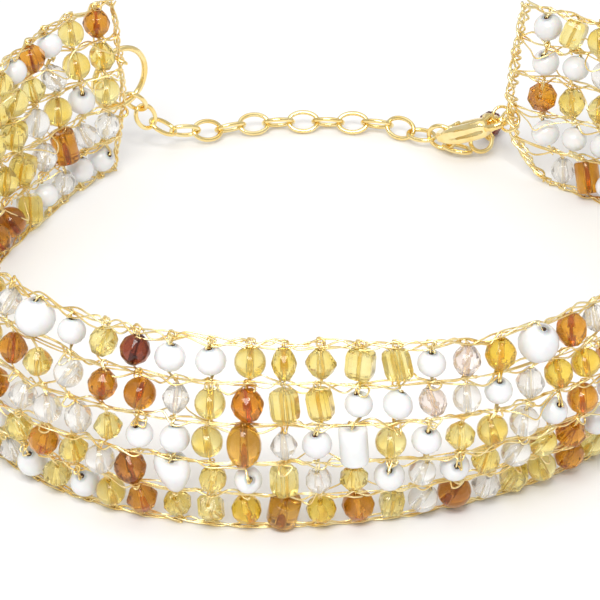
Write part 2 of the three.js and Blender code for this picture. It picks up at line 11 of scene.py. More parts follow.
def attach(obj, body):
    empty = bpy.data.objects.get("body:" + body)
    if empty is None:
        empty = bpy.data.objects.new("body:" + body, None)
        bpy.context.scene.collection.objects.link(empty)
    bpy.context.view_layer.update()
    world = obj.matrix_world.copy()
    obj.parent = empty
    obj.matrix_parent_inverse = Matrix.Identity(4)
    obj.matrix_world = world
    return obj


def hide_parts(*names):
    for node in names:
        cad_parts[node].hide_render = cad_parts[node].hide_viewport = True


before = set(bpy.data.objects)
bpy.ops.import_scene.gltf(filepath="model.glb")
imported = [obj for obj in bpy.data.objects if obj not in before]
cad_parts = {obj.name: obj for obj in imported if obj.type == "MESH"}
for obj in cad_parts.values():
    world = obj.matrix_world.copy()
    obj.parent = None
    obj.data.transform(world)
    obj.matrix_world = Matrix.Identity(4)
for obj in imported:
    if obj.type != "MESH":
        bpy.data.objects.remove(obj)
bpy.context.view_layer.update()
MM = 0.001
BODY = "choker"
STRETCHES = sorted(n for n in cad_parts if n.startswith("band_stretch"))

# ---------- the band, as in the solids (millimetres) ----------

# The plan of the foot, from the front to each end: radius, negative where it curves the other
# way, and sweep in degrees
LEFT_ARCS = [(43.6, 107.5), (192, 10.4), (35.6, 15.6)]
RIGHT_ARCS = [(61, 68), (45.3, 78), (-13, 22)]
FRONT = (-4.5, 0)  # where both plans start
CENTRE = (3.883, 51.94)  # the plan's own place for the frame's origin
BAND_HEIGHT = 28
FOOT_OUT = 1.3  # how far the foot stands out
BULGE = 3.6  # how far the band's middle height stands out
END_BULGE = -1.9  # the same at the two ends
LEAN = [  # place along, degrees outwards
    (-129, -0.5), (-112, 6.8), (-90, 6.8), (-40, 0), (0, 0), (30, 10), (90, 7), (118, 6.5), (141, 1.2),
]
END_REACH = 35  # length over which an end's shape gives way to the band's

# Rows from the lower edge up: height, last bead to the end left and right, and how far the row's
# beads are moved along at each of the stations
DRIFT_STATIONS = [-95, -45, -30, -15, 0, 15, 30, 45, 95]
ROWS = [
    (3.2, 2.8, 8.2, [0, 1.3, 0.6, -0.4, 0, 0.8, 0.7, 1.5, 0]),
    (8.9, 2.75, 5.6, [0, 2.1, 1.7, 0.7, 0, 0.4, -0.2, -0.8, 0]),
    (14.6, 2.75, 4.9, [0, 1.4, 1.5, 1.1, 0, -0.7, -1.4, -1.3, 0]),
    (20.0, 2.75, 5.0, [0, -1.8, -1.2, 0, 0, 1.2, 0.8, -0.1, 0]),
    (25.1, 2.75, 4.5, [0, -3.4, -4.0, -2.4, 0, 1.9, 2.0, 1.2, 0]),
]
MIDDLE_COLUMN = 28  # the column, counted from 0, that the rows are threaded from
MIDDLE_AT = 2.25  # its place along
CORNER_CUT = 6.2  # the right end's lower corner: how far it is cut off along the foot
CORNER_BEND = 1.6  # and at the height where the cut ends
CORNER_HEIGHT = 3.6
CORNER_FADE = 2.5  # height over which the bend runs out above that
EDGE = 0.35  # the outer net lines run this far inside the band's edges

# Bead chart, top row first, left end to right end
CHART = [
    "aywawy" + "wycayWyqcyway" + "ycWwykwwyOyyqwpgWacy" + "wyacywqyWycaywycy" + "yqw",
    "yycyyy" + "ycwyaycwyoycw" + "yaycaacyoqqwwpcwcgga" + "ycywwaycyyowcyyaw" + "cww",
    "ywycyy" + "cyAywcyybwcyq" + "acccywwyAcwtyhyycwaw" + "wyqycywaytywycwyc" + "yya",
    "ccmcyy" + "ywyqcwaytyywc" + "wyaycbHyhqcywchycyaw" + "cawyyHycwybyqwycy" + "www",
    "wwcwyb" + "aycwyywcyawyy" + "cwywyayqgngaqcbcqyay" + "ywycbywyacywwyayw" + "wmc",
]
THREADED = {"W": 5.4, "H": 5.2, "t": 3.9, "A": 4.3}  # widths of the large beads
WIDTHS = {  # of each kind of bead, along its row
    "w": 3.9, "h": 4.2, "k": 4.0, "y": 3.8, "g": 4.0, "O": 3.6, "q": 3.6, "c": 3.8, "p": 3.9,
    "a": 4.2, "o": 4.2, "n": 4.2, "b": 4.2, "m": 3.3, **THREADED,
}
ROOM = 0.7  # extra length that a large bead takes
COLUMNS = len(CHART[0])
LINES = len(ROWS) + 1


def arcs_length(arcs):
    return sum(abs(radius) * math.radians(sweep) for radius, sweep in arcs)


LEFT_END = -arcs_length(LEFT_ARCS)
RIGHT_END = arcs_length(RIGHT_ARCS)


def smoothstep(x, low, high):
    t = min(max((x - low) / (high - low), 0), 1)
    return t * t * (3 - 2 * t)


def plan_at(s):
    """The plan's x, y and heading at s along the band, from the front."""
    side = -1 if s < 0 else 1
    left, heading, x, y = abs(s), 0.0, 0.0, 0.0
    arcs = LEFT_ARCS if s < 0 else RIGHT_ARCS
    for i, (radius, sweep) in enumerate(arcs):
        full = abs(radius) * math.radians(sweep)
        run = left if i == len(arcs) - 1 else min(left, full)
        after = heading + run / radius
        x += radius * (math.sin(after) - math.sin(heading))
        y += radius * (math.cos(heading) - math.cos(after))
        heading = after
        left -= run
    return FRONT[0] + side * x, FRONT[1] + y, side * heading


def lean_at(s):
    """How far the band leans out at s, in radians."""
    i = next((i for i, row in enumerate(LEAN) if row[0] > s), len(LEAN) - 1)
    (at0, lean0), (at1, lean1) = LEAN[i - 1], LEAN[i]
    return math.radians(lean0 + (lean1 - lean0) * smoothstep(s, at0, at1))


def band_point(s, v, d):
    """Place in metres of the band's point at s along it, v up it and d out from it."""
    x, y, heading = plan_at(s)
    lean = lean_at(s)
    up = min(max(v / BAND_HEIGHT, 0), 1)
    full = smoothstep(s - LEFT_END, 0, END_REACH) * smoothstep(RIGHT_END - s, 0, END_REACH)
    bulge = END_BULGE + (BULGE - END_BULGE) * full
    barrel = full * FOOT_OUT * (1 - up) + bulge * math.sin(math.pi * up) ** 1.5
    out = barrel + v * math.sin(lean) + d
    return MM * Vector((x + out * math.sin(heading) - CENTRE[0],
                        y - out * math.cos(heading) - CENTRE[1], v * math.cos(lean)))


def band_axes(s, v):
    """Unit vectors along, up and out of the band."""
    along = (band_point(s + 0.1, v, 0) - band_point(s - 0.1, v, 0)).normalized()
    up = (band_point(s, v + 0.1, 0) - band_point(s, v - 0.1, 0)).normalized()
    return along, up, along.cross(up)


def drift_at(s, drift):
    """A row's own shift along the band at s."""
    i = next((i for i, station in enumerate(DRIFT_STATIONS) if station > s), 0)
    if i < 1:
        return 0
    step = smoothstep(s, DRIFT_STATIONS[i - 1], DRIFT_STATIONS[i])
    return drift[i - 1] + (drift[i] - drift[i - 1]) * step


def thread_row(row):
    """Places along the band of a row's beads, threaded both ways from the middle column."""
    _, end_left, end_right, drift = ROWS[row]
    letters = CHART[len(ROWS) - 1 - row]

    def pitch(i, j):
        return sum(WIDTHS[letters[k]] + (ROOM if letters[k] in THREADED else 0) for k in (i, j)) / 2

    at = [0.0] * COLUMNS
    at[MIDDLE_COLUMN] = MIDDLE_AT
    for step, last, end in ((-1, 0, LEFT_END + end_left), (1, COLUMNS - 1, RIGHT_END - end_right)):
        way = range(MIDDLE_COLUMN, last, step)
        gap = (abs(end - MIDDLE_AT) - sum(pitch(i, i + step) for i in way)) / len(way)
        for i in way:
            at[i + step] = at[i] + step * (pitch(i, i + step) + gap)
    return [s + drift_at(s, drift) for s in at]


bead_along = [thread_row(row) for row in range(len(ROWS))]
line_heights = [EDGE] + [(a[0] + b[0]) / 2 for a, b in zip(ROWS, ROWS[1:])] + [BAND_HEIGHT - EDGE]


def letter_at(column, row):
    return CHART[len(ROWS) - 1 - row][column - 1]


def knot_along(column, line):
    """Where a column, from 1 up, crosses a net line; 0 and COLUMNS + 1 are the ends."""
    if column < 1:
        return LEFT_END
    if column > COLUMNS:
        return RIGHT_END - (CORNER_CUT if line == 0 else 0)
    rows = [row for row in (line - 1, line) if 0 <= row < len(ROWS)]
    own = [row for row in rows if letter_at(column, row) in THREADED]
    used = own or rows
    return sum(bead_along[row][column - 1] for row in used) / len(used)


# ---------- mesh helpers ----------

class Skin:
    """Vertices and faces gathered from many small shapes into one mesh."""

    def __init__(self):
        self.points = []
        self.faces = []

    def add(self, points, faces):
        first = len(self.points)
        self.points.extend(points)
        self.faces.extend([first + i for i in face] for face in faces)

    def build(self, name, material, smooth=True):
        mesh = bpy.data.meshes.new(name)
        mesh.from_pydata([tuple(p) for p in self.points], [], self.faces)
        mesh.materials.append(material)
        mesh.polygons.foreach_set("use_smooth", [smooth] * len(mesh.polygons))
        mesh.update()
        piece = bpy.data.objects.new(name, mesh)
        bpy.context.scene.collection.objects.link(piece)
        return piece


def put(piece, slot, *nodes):
    """The piece rides on the choker and stands for the nodes, which are hidden. The slot is not used.
    """
    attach(piece, BODY)
    if nodes:
        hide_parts(*nodes)
    return piece


def ring_faces(count, sides, closed=True):
    """Quads between rings of points, with the last ring joined to the first if closed."""
    faces = []
    for i in range(count if closed else count - 1):
        j = (i + 1) % count
        for k in range(sides):
            m = (k + 1) % sides
            faces.append([i * sides + k, i * sides + m, j * sides + m, j * sides + k])
    return faces


def tube(skin, path, radius, sides=6, closed=False):
    """A round wire along a list of points, with an even twist."""
    points = np.array([tuple(p) for p in path])
    count = len(points)
    if closed:
        tangents = np.roll(points, -1, axis=0) - np.roll(points, 1, axis=0)
    else:
        tangents = np.gradient(points, axis=0)
    tangents /= np.linalg.norm(tangents, axis=1)[:, None] + 1e-12
    normals = np.empty_like(points)
    normal = np.array([0.0, 0.0, 1.0]) if abs(tangents[0][2]) < 0.9 else np.array([1.0, 0.0, 0.0])
    for i in range(count):
        normal = normal - tangents[i] * normal.dot(tangents[i])
        normal = normal / np.linalg.norm(normal)
        normals[i] = normal
    binormals = np.cross(tangents, normals)
    twist = 0.0
    if closed:
        last = normals[-1] - tangents[0] * normals[-1].dot(tangents[0])
        twist = math.atan2(last.dot(binormals[0]), last.dot(normals[0]))
    verts = []
    for i in range(count):
        turn = -twist * i / count
        for k in range(sides):
            angle = 2 * math.pi * k / sides + turn
            outwards = math.cos(angle) * normals[i] + math.sin(angle) * binormals[i]
            verts.append(points[i] + radius * outwards)
    faces = ring_faces(count, sides, closed)
    if not closed:
        faces.append(list(range(sides))[::-1])
        faces.append([(count - 1) * sides + k for k in range(sides)])
    skin.add(verts, faces)


def spline(controls, step):
    """Catmull-Rom points through the controls, about a step apart."""
    pts = np.array(controls, float)
    pts = np.vstack([2 * pts[0] - pts[1], pts, 2 * pts[-1] - pts[-2]])
    out = []
    for p0, p1, p2, p3 in zip(pts, pts[1:], pts[2:], pts[3:]):
        n = max(2, int(math.ceil(np.linalg.norm(p2 - p1) / step)))
        for t in np.arange(n) / n:
            out.append(0.5 * (2 * p1 + (p2 - p0) * t + (2 * p0 - 5 * p1 + 4 * p2 - p3) * t * t
                              + (3 * p1 - p0 - 3 * p2 + p3) * t ** 3))
    out.append(pts[-2])
    return out


# ---------- materials ----------

def principled(name, **values):
    """A material and its shader, with the values set on the shader's sockets."""
    material = bpy.data.materials.new(name)
    material.use_nodes = True
    shader = material.node_tree.nodes["Principled BSDF"]
    for key, value in values.items():
        shader.inputs[key.replace("_", " ")].default_value = value
    return material, shader


def mottled(material, shader, colours, scale):
    """Colour that drifts between two shades through the piece."""
    tree = material.node_tree
    place = tree.nodes.new("ShaderNodeTexCoord")
    noise = tree.nodes.new("ShaderNodeTexNoise")
    noise.inputs["Scale"].default_value = scale
    noise.inputs["Detail"].default_value = 3
    ramp = tree.nodes.new("ShaderNodeValToRGB")
    for element, at, colour in zip(ramp.color_ramp.elements, (0.35, 0.65), colours):
        element.position = at
        element.color = (*colour, 1)
    tree.links.new(place.outputs["Object"], noise.inputs["Vector"])
    tree.links.new(noise.outputs["Fac"], ramp.inputs["Fac"])
    tree.links.new(ramp.outputs["Color"], shader.inputs["Base Color"])


def roughened(material, shader, noise_scale, low, high, bump):
    """Gloss that varies, and a little unevenness of the surface."""
    tree = material.node_tree
    place = tree.nodes.new("ShaderNodeTexCoord")
    noise = tree.nodes.new("ShaderNodeTexNoise")
    noise.inputs["Scale"].default_value = noise_scale
    reach = tree.nodes.new("ShaderNodeMapRange")
    reach.inputs["To Min"].default_value = low
    reach.inputs["To Max"].default_value = high
    tree.links.new(place.outputs["Object"], noise.inputs["Vector"])
    tree.links.new(noise.outputs["Fac"], reach.inputs["Value"])
    tree.links.new(reach.outputs["Result"], shader.inputs["Roughness"])
    bumps = tree.nodes.new("ShaderNodeBump")
    bumps.inputs["Strength"].default_value = bump
    bumps.inputs["Distance"].default_value = 0.1 * MM
    tree.links.new(noise.outputs["Fac"], bumps.inputs["Height"])
    tree.links.new(bumps.outputs["Normal"], shader.inputs["Normal"])


def glass(name, deep, light, clear=0.9):
    """Glass, a little cloudy: what isn't let through is scattered in the bead's own colour."""
    material, shader = principled(name, Transmission_Weight=clear, IOR=1.48)
    mottled(material, shader, (deep, light), 260)
    roughened(material, shader, 700, 0.02, 0.09, bump=0.3)
    return material


def gold(name, colours, roughness):
    """Gold plate that isn't quite even in colour and gloss."""
    material, shader = principled(name, Metallic=1.0)
    mottled(material, shader, colours, 400)
    roughened(material, shader, 2500, *roughness, bump=0.15)
    return material


wire_gold = gold("wire_gold", ((0.92, 0.69, 0.27), (1.0, 0.88, 0.52)), (0.14, 0.34))
plate_gold = gold("plate_gold", ((0.92, 0.69, 0.26), (0.99, 0.84, 0.44)), (0.08, 0.2))

white_glass, white_shader = principled("white_glass", Subsurface_Weight=0.2,
                                       Subsurface_Scale=MM, IOR=1.5)
mottled(white_glass, white_shader, ((0.75, 0.757, 0.76), (0.83, 0.835, 0.84)), 250)
roughened(white_glass, white_shader, 700, 0.1, 0.25, bump=0.2)

GLASS = {
    "white": white_glass,
    "yellow": glass("yellow_glass", (0.92, 0.67, 0.1), (1.0, 0.92, 0.46), 0.87),
    "golden": glass("golden_glass", (0.92, 0.56, 0.03), (1.0, 0.8, 0.16), 0.88),
    "clear": glass("clear_glass", (0.98, 0.96, 0.93), (1.0, 1.0, 0.98), 0.78),
    "pink": glass("pink_glass", (0.96, 0.83, 0.77), (1.0, 0.93, 0.89), 0.86),
    "amber": glass("amber_glass", (0.5, 0.17, 0.008), (0.92, 0.46, 0.05), 0.93),
    "honey": glass("honey_glass", (0.55, 0.25, 0.02), (0.88, 0.52, 0.09), 0.9),
    "orange": glass("orange_glass", (0.62, 0.18, 0.01), (0.9, 0.4, 0.03)),
    "brown": glass("brown_glass", (0.4, 0.12, 0.01), (0.68, 0.3, 0.05)),
    "dark": glass("dark_glass", (0.2, 0.03, 0.015), (0.36, 0.08, 0.03)),
}
SLOTS = {  # the slot named for each colour of glass; the others are named net
    "white": "white_glass", "amber": "amber_glass", "honey": "amber_glass", "orange": "amber_glass",
    "brown": "brown_glass", "dark": "brown_glass",
}

# ---------- bead shapes ----------

BORE = 0.38  # radius of the hole in a bead
AT_BORE = 1.05  # points within this many bores of the axis are the hole's own
WIDER = 1.3  # how much wider the holes of the white beads are
POLISH = 0.22  # width of the rounding between facets
SQUARE = 0.88  # side of a block, for a width of 1


def turned(outline, sides, squash=1.0):
    """Rings about Z through (radius, height) pairs, closed by the bore."""
    rings = [(BORE, outline[0][1])] + list(outline) + [(BORE, outline[-1][1])]
    points = []
    for r, z in rings:
        for k in range(sides):
            angle = 2 * math.pi * k / sides
            points.append(Vector((r * math.cos(angle), r * math.sin(angle) * squash, z)))
    return points, ring_faces(len(rings), sides)


# Each of these gives a bead's points and faces, with its hole along Z, and whether it is smooth

def round_bead(width, tall):
    """A ball, cut off where the hole comes out."""
    steps = 9
    top = math.asin(min(1, BORE * 2.2 / width))
    turns = [(-1 + 2 * i / steps) * (math.pi / 2 - top) for i in range(steps + 1)]
    outline = [(width / 2 * math.cos(a), tall / 2 * math.sin(a) / math.cos(top)) for a in turns]
    return turned(outline, 18), True


def faceted_bead(width, tall):
    """Fire-polished: bands of flats between the flat ends, every other ring half a step on."""
    levels = [(0.42, -1.0), (0.86, -0.52), (1.0, 0.0), (0.86, 0.52), (0.42, 1.0)]
    count = 8
    points, rings = [], []
    for i, (r, z) in enumerate(levels):
        ring = []
        for k in range(count):
            angle = 2 * math.pi * (k + 0.5 * (i % 2)) / count
            ring.append(len(points))
            points.append(Vector((r * width / 2 * math.cos(angle), r * width / 2 * math.sin(angle),
                                  z * tall / 2)))
        rings.append(ring)
    faces = []
    for i in range(len(rings) - 1):
        a, b = rings[i], rings[i + 1]
        for k in range(count):
            m = (k + 1) % count
            if i % 2 == 0:  # b is turned half a step on
                faces += [[a[k], a[m], b[k]], [b[k], a[m], b[m]]]
            else:
                faces += [[a[k], b[m], b[k]], [a[k], a[m], b[m]]]
    for ring, z in ((rings[0], -tall / 2), (rings[-1], tall / 2)):
        bore = []
        for k in range(count):
            angle = math.atan2(points[ring[k]].y, points[ring[k]].x)
            bore.append(len(points))
            points.append(Vector((BORE * math.cos(angle), BORE * math.sin(angle), z)))
        for k in range(count):
            m = (k + 1) % count
            if z < 0:
                faces.append([bore[k], bore[m], ring[m], ring[k]])
            else:
                faces.append([bore[m], bore[k], ring[k], ring[m]])
        if z < 0:
            low = bore
        else:
            for k in range(count):
                m = (k + 1) % count
                faces.append([low[m], low[k], bore[k], bore[m]])
    return (points, faces), False


def bicone_bead(width, tall):
    """Two cut cones, foot to foot."""
    outline = [(0.3, -1), (0.72, -0.6), (1.0, -0.1), (1.0, 0.1), (0.72, 0.6), (0.3, 1)]
    return turned([(r * width / 2, z * tall / 2) for r, z in outline], 8), False


def block_bead(width, tall):
    """A square block with chamfered corners, drawn in at its ends."""
    half = width / 2 * SQUARE
    ends = [(0.66, -1.0), (0.9, -0.84), (1.0, -0.5), (1.0, 0.5), (0.9, 0.84), (0.66, 1.0)]
    chamfer = 0.32
    points, corners = [], []
    for sx, sy in ((1, 1), (-1, 1), (-1, -1), (1, -1)):
        pair = [(sx, sy * (1 - chamfer)), (sx * (1 - chamfer), sy)]
        corners += pair if sx * sy > 0 else pair[::-1]
    rings = [(None, ends[0][1])] + ends + [(None, ends[-1][1])]
    for r, z in rings:
        for x, y in corners:
            if r is None:
                angle = math.atan2(y, x)
                points.append(Vector((BORE * math.cos(angle), BORE * math.sin(angle), z * tall / 2)))
            else:
                points.append(Vector((x * half * r, y * half * r, z * tall / 2)))
    return (points, ring_faces(len(rings), len(corners))), False


def tube_bead(width, tall):
    """A short tube with rounded rims."""
    half = width / 2
    outline = [(half * 0.82, -tall / 2), (half * 0.95, -tall * 0.48), (half, -tall * 0.43),
               (half, tall * 0.43), (half * 0.95, tall * 0.48), (half * 0.82, tall / 2)]
    return turned(outline, 20), True


def drop_bead(width, tall):
    """Pear-shaped, its narrow end down and a broad, slightly hollowed shoulder up."""
    shape = [(0.22, -1.0), (0.42, -0.86), (0.6, -0.6), (0.78, -0.25), (0.93, 0.1), (1.0, 0.4),
             (0.98, 0.65), (0.86, 0.86), (0.62, 0.98), (0.4, 0.94), (0.24, 0.84)]
    path = spline([(r * width / 2, 0, z * tall / 2) for r, z in shape], 0.35)
    return turned([(max(p[0], BORE * AT_BORE), p[2]) for p in path], 22, squash=0.72), True


SHAPES = {
    "round": round_bead,
    "facet": faceted_bead,
    "bicone": bicone_bead,
    "block": block_bead,
    "tube": tube_bead,
    "drop": drop_bead,
}

# Letter: colour, shapes to draw from, width and height
KINDS = {
    "w": ("white", ["round"], 4.0, 3.6),
    "h": ("white", ["round"], 4.0, 3.3),
    "k": ("dark", ["facet"], 4.1, 3.9),
    "y": ("yellow", ["facet", "round", "round", "bicone", "block"], 4.1, 4.1),
    "g": ("golden", ["facet", "round"], 4.3, 4.1),
    "O": ("yellow", ["facet"], 3.7, 4.6),
    "q": ("yellow", ["block"], 3.6, 4.2),
    "c": ("clear", ["facet", "bicone", "round"], 3.9, 4.0),
    "p": ("pink", ["facet"], 4.0, 4.0),
    "a": ("amber", ["facet", "round", "bicone"], 4.4, 4.3),
    "o": ("orange", ["facet"], 4.4, 4.3),
    "n": ("honey", ["tube"], 4.3, 4.4),
    "b": ("brown", ["facet", "round"], 4.4, 4.3),
    "m": ("amber", ["tube"], 3.5, 4.6),
    "W": ("white", ["round"], 5.9, 5.6),
    "H": ("white", ["drop"], 5.8, 5.4),
    "t": ("white", ["tube"], 4.0, 5.4),
    "A": ("honey", ["round"], 4.5, 6.2),
}
TILT = 11  # spread of the small beads' lean, in degrees
LARGE_TILT = 4  # the same of the large ones
FORWARD = {"w": 20, "W": 30, "h": 30}  # how far these lean out, hole first, in degrees
BOTH_WAYS = 60  # farther along than this they lean in or out
SIDEWAYS = {(COLUMNS, 2): -68}  # lean of the bead, at a column and row, whose hole faces into the ring

chance = random.Random(5)
skins = {}


def place_bead(letter, column, row):
    """Adds a bead to its colour's skin; its middle and its own axes are returned for the wire."""
    colour, shapes, width, tall = KINDS[letter]
    s, v = bead_along[row][column - 1], ROWS[row][0]
    along, up, out = band_axes(s, v)
    size = chance.uniform(0.94, 1.06)
    loose = LARGE_TILT if letter in THREADED else TILT
    (points, faces), smooth = SHAPES[chance.choice(shapes)](width * size, tall * size)
    if colour == "white":
        for p in points:
            if math.hypot(p.x, p.y) < BORE * AT_BORE:
                p.x *= WIDER
                p.y *= WIDER
    turn = Quaternion(out, math.radians(chance.gauss(0, loose)))
    forward = FORWARD.get(letter, 0) * (1 if abs(s) < BOTH_WAYS else chance.choice((-1, 1)))
    forward = SIDEWAYS.get((column, row), forward)
    turn = turn @ Quaternion(along, math.radians(forward + chance.gauss(0, loose)))
    base = Matrix((along, -out, up)).transposed()
    spin = Matrix.Rotation(chance.uniform(0, 2 * math.pi), 3, "Z")
    full = turn.to_matrix() @ base @ spin
    middle = band_point(s, v, chance.uniform(-0.2, 0.35))
    skin = skins.setdefault((colour, smooth), Skin())
    skin.add([middle + MM * (full @ p) for p in points], faces)
    return middle, full


def settle(piece):
    """Bakes the piece's modifiers into its mesh."""
    graph = bpy.context.evaluated_depsgraph_get()
    mesh = bpy.data.meshes.new_from_object(piece.evaluated_get(graph), preserve_all_data_layers=True,
                                           depsgraph=graph)
    piece.modifiers.clear()
    piece.data = mesh


def soften(piece):
    """Rounds the edges between facets, as fire-polishing does."""
    piece.data.polygons.foreach_set("use_smooth", [True] * len(piece.data.polygons))
    bevel = piece.modifiers.new("edges", "BEVEL")
    bevel.width = POLISH * MM
    bevel.segments = 2
    bevel.limit_method = "ANGLE"
    bevel.angle_limit = math.radians(10)
    bevel.harden_normals = True
    settle(piece)


bead_frames = {}
for column in range(1, COLUMNS + 1):
    for row in range(len(ROWS)):
        bead_frames[column, row] = place_bead(letter_at(column, row), column, row)

# The smooth beads of a colour stand for the solids' own large beads of that colour
own_nodes = [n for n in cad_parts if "_bead_" in n]
for (colour, smooth), skin in skins.items():
    piece = skin.build(f"{colour}_beads_{'smooth' if smooth else 'cut'}", GLASS[colour], smooth)
    if not smooth:
        soften(piece)
    start = "amber" if colour == "honey" else colour
    nodes = [n for n in own_nodes if n.startswith((start, "large_" + start))]
    put(piece, SLOTS.get(colour, "net"), *(nodes if smooth else []))

# ---------- net of wire ----------

WIRE = 0.14  # radius
STRAY_WIRE = 0.11
BORE_WIRE = 0.1  # where it runs through clear glass
STEP = 0.3  # between the points of a wire
SIDES_FROM = 45  # stray strands cross more beads farther along than this
LEG_APART = 0.15  # half the distance between the two strands through a bead
LEG_REACH = 1.9  # they are straight as far from the bead's middle as this
OVER_TOP = 0.6  # and stand no farther than this above the band
weave = random.Random(11)


def lay(skin, controls, radius=WIRE):
    """Wire through (along, up, out) controls on the band."""
    path = [band_point(*p) for p in spline(controls, STEP)]
    for p in path:
        p.z = max(p.z, radius * MM)
    tube(skin, path, radius * MM)


def inner_line(line):
    """Two strands between rows: they cross at a knot and part between columns, or the other way
    round where they hug the beads; here and there a strand makes a stitch about the knot."""
    skin = Skin()
    v = line_heights[line]
    hugs = [0 < column <= COLUMNS and weave.random() < 0.4 for column in range(COLUMNS + 2)] + [False]
    sags = [weave.uniform(-0.8, 0.6) for _ in hugs]
    for strand in (0, 1):
        sign = 1 if strand else -1
        controls = []
        for column in range(0, COLUMNS + 2):
            s = knot_along(column, line)
            rise = sign * weave.uniform(0.35, 0.75) if hugs[column] else weave.uniform(-0.35, 0.35)
            flip = sign * (1 if column % 2 else -1)
            controls.append((s + weave.uniform(-0.45, 0.45), v + rise,
                             0.6 if hugs[column] else 0.3 * flip))
            if column > COLUMNS:
                break
            if 0 < column and weave.random() < 0.4:
                reach = weave.uniform(0.3, 1.2) * weave.choice((-1, -1, 1))
                wide = weave.uniform(0.3, 1.1)
                skew = weave.uniform(-0.4, 0.6)
                front = 0.5 + 0.8 * abs(reach)
                controls += [(s + wide, v + reach * 0.3, 0.6),
                             (s + wide * (0.5 + skew), v + reach, front),
                             (s + wide * (skew - 0.3), v + reach * 0.8, front),
                             (s - 0.3 * wide, v + 0.1, -0.1)]
            gap = knot_along(column + 1, line) - s
            open_wide = weave.uniform(0.2, 1.3)
            if hugs[column] or hugs[column + 1]:
                open_wide = weave.uniform(-0.5, 0.3)
            for share in (0.5,) if weave.random() < 0.5 else (0.38, 0.66):
                controls.append((s + gap * (share + weave.uniform(-0.1, 0.1)),
                                 v + sags[column] + sign * open_wide + weave.uniform(-0.35, 0.35),
                                 weave.uniform(-0.5, 0.7)))
        lay(skin, controls)
    return skin


def wander_line(line):
    """Two thin strands that stray from the line over the faces of the beads, mostly at the sides."""
    skin = Skin()
    v = line_heights[line]
    for often_front, often_sides in ((0.14, 0.55), (0.04, 0.7)):
        controls = []
        for column in range(0, COLUMNS + 2):
            s = knot_along(column, line)
            inside = 0 < column <= COLUMNS
            if inside and weave.random() < (often_sides if abs(s) > SIDES_FROM else often_front):
                face = weave.choice((-1, 1))
                rise = weave.uniform(0.9, 2.2) * weave.choice((-1, 1))
                controls += [(s - 1.5, v + 0.4 * rise, 1.5 * face), (s, v + rise, 2.4 * face),
                             (s + 1.5, v + 0.4 * rise, 1.5 * face)]
            else:
                controls.append((s, v + weave.uniform(-0.25, 0.25), weave.uniform(-0.4, 0.5)))
        lay(skin, controls, STRAY_WIRE)
    return skin


def edge_line(line):
    """The heavier edges: four strands close together, with small loops that stand out."""
    skin = Skin()
    v = line_heights[line]
    out = 1 if line else -1
    loose = 1.5 if line else 1
    for strand in range(4):
        controls = []
        for column in range(0, COLUMNS + 2):
            s = knot_along(column, line)
            side = (0.34, -0.1, -0.42, 0.1)[(column + strand) % 4] * loose
            controls.append((s + weave.uniform(-0.4, 0.4), v + side,
                             0.4 * math.cos(1.7 * (column + strand))))
            if column > COLUMNS:
                break
            if strand < 2 and 0 < column and weave.random() < 0.35:
                reach = weave.uniform(0.35, 0.85) if out > 0 else 0.3
                controls += [(s + 0.55, v + 0.2 * out, 0.4), (s + 0.4, v + reach * out, 0.0),
                             (s - 0.35, v + reach * out, -0.3), (s - 0.15, v - 0.4 * out, 0.25)]
            gap = knot_along(column + 1, line) - s
            controls.append((s + gap * weave.uniform(0.3, 0.7), v + weave.uniform(-0.6, 0.5) * loose,
                             weave.uniform(-0.4, 0.4)))
        lay(skin, controls)
    return skin


for line in range(LINES):
    skin = edge_line(line) if line in (0, LINES - 1) else inner_line(line)
    put(skin.build(f"net_line_{line + 1}", wire_gold), "net", *STRETCHES)
for line in range(1, LINES - 1):
    put(wander_line(line).build(f"net_stray_{line}", wire_gold), "net", *STRETCHES)

# Two strands through each bead, from the line below to a turn about the line above
legs = Skin()
for (column, row), (middle, full) in bead_frames.items():
    above, s_high = line_heights[row + 1], knot_along(column, row + 1)
    axis = full @ Vector((0, 0, 1))
    half = MM * LEG_REACH
    low = band_point(knot_along(column, row), line_heights[row], 0)
    high = band_point(s_high, above, 0)
    along, up, out = band_axes(s_high, above)
    lean = weave.choice((-1, 1))
    opaque = KINDS[letter_at(column, row)][0] == "white"
    wire = (WIRE if opaque else BORE_WIRE) * MM
    for off in (-LEG_APART, LEG_APART):
        aside = MM * off * along
        points = [low + MM * (0.3 * out * (1 if off > 0 else -1)),
                  middle - axis * half + aside, middle + aside, middle + axis * half + aside]
        if opaque and off > 0:  # hooked over the bead's shoulder to the line above
            points += [middle + axis * half * 1.15 + MM * (0.75 * out + 0.3 * lean * along)]
        points += [high + MM * (0.42 * out + 0.25 * up + off * along)]
        if off > 0:
            points += [high + MM * (lean * 0.45 * along + 0.5 * up + 0.1 * out),
                       high + MM * (lean * 0.6 * along - 0.1 * up - 0.25 * out),
                       high + MM * (lean * 0.1 * along - 0.45 * up - 0.3 * out)]
        path = [Vector(p) for p in spline([tuple(p) for p in points], STEP * MM)]
        for p in path:
            p.z = min(max(p.z, wire), (BAND_HEIGHT + OVER_TOP) * MM)
        tube(legs, path, wire, 5)
put(legs.build("net_legs", wire_gold), "net", *STRETCHES)

